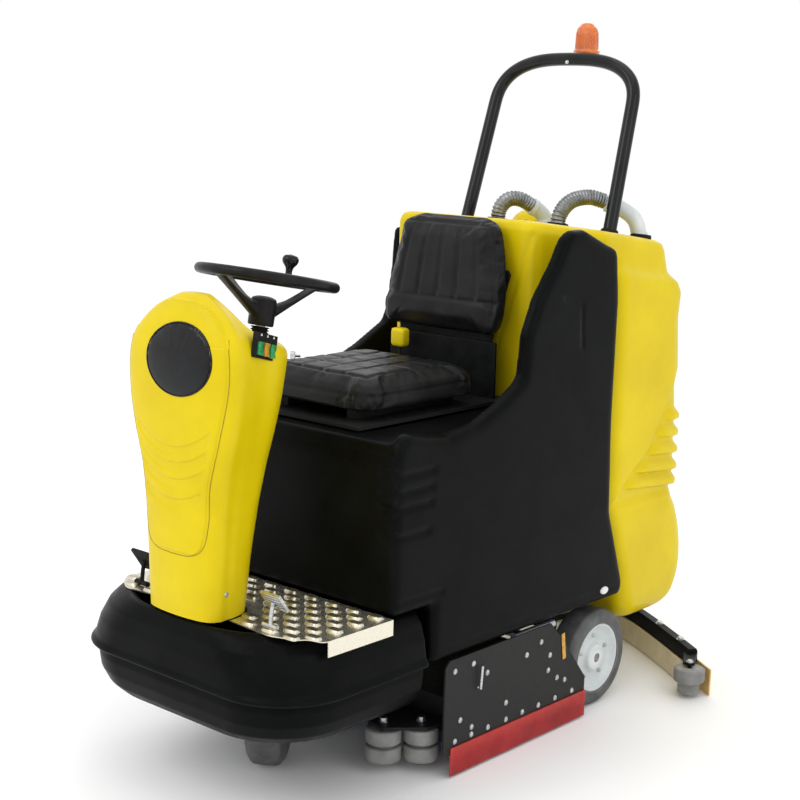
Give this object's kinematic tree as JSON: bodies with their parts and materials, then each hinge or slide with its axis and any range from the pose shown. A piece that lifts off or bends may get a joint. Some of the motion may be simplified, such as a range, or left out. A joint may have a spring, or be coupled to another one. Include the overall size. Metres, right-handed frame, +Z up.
{
  "type": "ride-on floor scrubber",
  "caption": "Ride-on floor scrubber with a steering column, seat, solution and recovery tanks, cylindrical brush deck, rear squeegee and a roll bar with a beacon.",
  "frame": {"origin": "on the floor under the middle of the machine's outline", "axes": "-Y is the driving direction, +X is the machine's left side and +Z is up"},
  "size_m": [1.0966, 1.8048, 1.842],
  "materials": {
    "yellow_plastic": "satin rotomoulded polyethylene",
    "black_plastic": "satin rotomoulded polyethylene",
    "black_steel": "gloss powder coat",
    "bare_steel": "machined",
    "tread_plate": "pressed plate with raised buttons",
    "grey_plastic": "moulded",
    "pale_plastic": "moulded",
    "grey_tyre": "moulded rubber",
    "red_rubber": "smooth",
    "tan_rubber": "smooth",
    "cream_rubber": "smooth",
    "vinyl": "grained vinyl",
    "amber_lens": "clear polycarbonate",
    "green_switch": "translucent",
    "amber_switch": "translucent",
    "bristle": "nylon bristle"
  },
  "bodies": {
    "chassis": {"chassis_frame": "black_steel", "rear_axle": "bare_steel", "front_base_shell": "black_plastic", "front_bumper": "black_plastic", "step_plate": "tread_plate", "column_post": "black_steel", "column_front_cover": "yellow_plastic", "column_rear_cover": "yellow_plastic", "control_panel": "black_plastic", "column_boot": "black_plastic", "solution_tank": "black_plastic", "battery_pack": "grey_plastic", "recovery_tank": "yellow_plastic", "vacuum_motor": "bare_steel", "suction_hose_left": "grey_plastic", "suction_hose_right": "grey_plastic", "hose_elbow_left": "pale_plastic", "hose_elbow_right": "pale_plastic", "roll_bar": "black_steel", "beacon_base": "black_plastic", "beacon_lens": "amber_lens"},
    "fork": {"steering_fork": "black_steel", "drive_motor": "bare_steel"},
    "front_wheel": {"front_hub": "bare_steel", "front_tyre": "grey_tyre"},
    "steering": {"steering_wheel": "black_plastic", "steering_shaft": "bare_steel"},
    "spinner": {"steering_knob": "black_plastic"},
    "rear_wheel_left": {"rear_rim_left": "pale_plastic", "rear_tyre_left": "grey_tyre"},
    "rear_wheel_right": {"rear_rim_right": "pale_plastic", "rear_tyre_right": "grey_tyre"},
    "brake": {"brake_pedal": "bare_steel"},
    "accelerator": {"accelerator_pedal": "bare_steel"},
    "switch_front": {"rocker_front": "green_switch"},
    "switch_middle": {"rocker_middle": "amber_switch"},
    "switch_rear": {"rocker_rear": "green_switch"},
    "key": {"key_switch": "black_plastic"},
    "seat": {"seat_plate": "black_steel", "seat_cushion": "vinyl", "seat_back": "vinyl"},
    "release_lever": {"seat_release_lever": "yellow_plastic"},
    "lid": {"recovery_lid": "yellow_plastic"},
    "deck": {"deck_frame": "black_steel", "deck_side_left": "black_steel", "deck_side_right": "black_steel", "skirt_left": "red_rubber", "skirt_right": "red_rubber"},
    "brush_front_roll": {"brush_front": "bristle"},
    "brush_rear_roll": {"brush_rear": "bristle"},
    "guide_left_inner": {"guide_roller_left_inner": "grey_plastic"},
    "guide_left_outer": {"guide_roller_left_outer": "grey_plastic"},
    "guide_right_inner": {"guide_roller_right_inner": "grey_plastic"},
    "guide_right_outer": {"guide_roller_right_outer": "grey_plastic"},
    "squeegee_lift_arm": {"squeegee_arm": "black_steel"},
    "squeegee": {"squeegee_frame": "black_plastic", "squeegee_blade_front": "cream_rubber", "squeegee_blade_rear": "tan_rubber"},
    "squeegee_wheel_left": {"squeegee_roller_left": "grey_plastic"},
    "squeegee_wheel_right": {"squeegee_roller_right": "grey_plastic"}
  },
  "joints": [
    {"name": "fork_steer", "type": "hinge", "parent": "chassis", "child": "fork", "pos_m": [0, -0.565, 0.28], "axis": [0, 0, 1], "range_deg": [-105, 35]},
    {"name": "front_wheel_spin", "type": "hinge", "parent": "fork", "child": "front_wheel", "pos_m": [0, -0.565, 0.1335], "axis": [0.8192, 0.5736, 0], "continuous": true},
    {"name": "steering_turn", "type": "hinge", "parent": "chassis", "child": "steering", "pos_m": [0, -0.591, 1.197], "axis": [0, 0.1908, 0.9816], "range_deg": [-262.5, 87.5]},
    {"name": "steering_knob_spin", "type": "hinge", "parent": "steering", "child": "spinner", "pos_m": [-0.07418, -0.45158, 1.18314], "axis": [0, 0.1908, 0.9816], "continuous": true},
    {"name": "rear_wheel_left_spin", "type": "hinge", "parent": "chassis", "child": "rear_wheel_left", "pos_m": [0.317, 0.3225, 0.1335], "axis": [1, 0, 0], "continuous": true},
    {"name": "rear_wheel_right_spin", "type": "hinge", "parent": "chassis", "child": "rear_wheel_right", "pos_m": [-0.317, 0.3225, 0.1335], "axis": [1, 0, 0], "continuous": true},
    {"name": "brake_press", "type": "hinge", "parent": "chassis", "child": "brake", "pos_m": [0.229, -0.79, 0.4565], "axis": [1, 0, 0], "range_deg": [0, 15], "stiffness_Nm_per_rad": 6},
    {"name": "accelerator_press", "type": "hinge", "parent": "chassis", "child": "accelerator", "pos_m": [-0.215, -0.79, 0.4565], "axis": [1, 0, 0], "range_deg": [0, 15], "stiffness_Nm_per_rad": 6},
    {"name": "switch_front_rock", "type": "hinge", "parent": "chassis", "child": "switch_front", "pos_m": [0.17365, -0.77485, 1.07047], "axis": [-0.3159, 0.9174, -0.2419], "range_deg": [-8, 8]},
    {"name": "switch_middle_rock", "type": "hinge", "parent": "chassis", "child": "switch_middle", "pos_m": [0.16417, -0.74732, 1.06321], "axis": [-0.3159, 0.9174, -0.2419], "range_deg": [-8, 8]},
    {"name": "switch_rear_rock", "type": "hinge", "parent": "chassis", "child": "switch_rear", "pos_m": [0.15469, -0.7198, 1.05595], "axis": [-0.3159, 0.9174, -0.2419], "range_deg": [-8, 8]},
    {"name": "key_turn", "type": "hinge", "parent": "chassis", "child": "key", "pos_m": [0.10531, -0.61669, 1.03], "axis": [0.7071, 0.7071, 0], "range_deg": [0, 90]},
    {"name": "seat_tilt", "type": "hinge", "parent": "chassis", "child": "seat", "pos_m": [0, -0.49, 0.856], "axis": [1, 0, 0], "range_deg": [0, 45]},
    {"name": "release_lever_swing", "type": "hinge", "parent": "seat", "child": "release_lever", "pos_m": [-0.11, 0.004, 0.866], "axis": [0, 1, 0], "range_deg": [-20, 20]},
    {"name": "lid_open", "type": "hinge", "parent": "chassis", "child": "lid", "pos_m": [-0.09, 0.633, 1.25338], "axis": [-1, 0, 0], "range_deg": [0, 75]},
    {"name": "deck_lift", "type": "slide", "parent": "chassis", "child": "deck", "axis": [0, 0, 1], "range_m": [0, 0.05]},
    {"name": "brush_front_spin", "type": "hinge", "parent": "deck", "child": "brush_front_roll", "pos_m": [0, -0.165, 0.078], "axis": [1, 0, 0], "continuous": true},
    {"name": "brush_rear_spin", "type": "hinge", "parent": "deck", "child": "brush_rear_roll", "pos_m": [0, 0.03, 0.078], "axis": [1, 0, 0], "continuous": true},
    {"name": "guide_left_inner_spin", "type": "hinge", "parent": "deck", "child": "guide_left_inner", "pos_m": [0.236, -0.411, 0.07], "axis": [0, 0, 1], "continuous": true},
    {"name": "guide_left_outer_spin", "type": "hinge", "parent": "deck", "child": "guide_left_outer", "pos_m": [0.296, -0.342, 0.07], "axis": [0, 0, 1], "continuous": true},
    {"name": "guide_right_inner_spin", "type": "hinge", "parent": "deck", "child": "guide_right_inner", "pos_m": [-0.236, -0.411, 0.07], "axis": [0, 0, 1], "continuous": true},
    {"name": "guide_right_outer_spin", "type": "hinge", "parent": "deck", "child": "guide_right_outer", "pos_m": [-0.296, -0.342, 0.07], "axis": [0, 0, 1], "continuous": true},
    {"name": "squeegee_lift", "type": "hinge", "parent": "chassis", "child": "squeegee_lift_arm", "pos_m": [0, 0.39, 0.136], "axis": [1, 0, 0], "range_deg": [0, 10]},
    {"name": "squeegee_swing", "type": "hinge", "parent": "squeegee_lift_arm", "child": "squeegee", "pos_m": [0, 0.5, 0.12], "axis": [0, 0, 1], "range_deg": [-18, 18]},
    {"name": "squeegee_wheel_left_spin", "type": "hinge", "parent": "squeegee", "child": "squeegee_wheel_left", "pos_m": [0.503, 0.56, 0.05], "axis": [0, 0, 1], "continuous": true},
    {"name": "squeegee_wheel_right_spin", "type": "hinge", "parent": "squeegee", "child": "squeegee_wheel_right", "pos_m": [-0.503, 0.56, 0.05], "axis": [0, 0, 1], "continuous": true}
  ],
  "couplings": [
    {"joint": "steering_turn", "follows": "fork_steer", "ratio": 2.5},
    {"joint": "brush_rear_spin", "follows": "brush_front_spin", "ratio": -1}
  ]
}
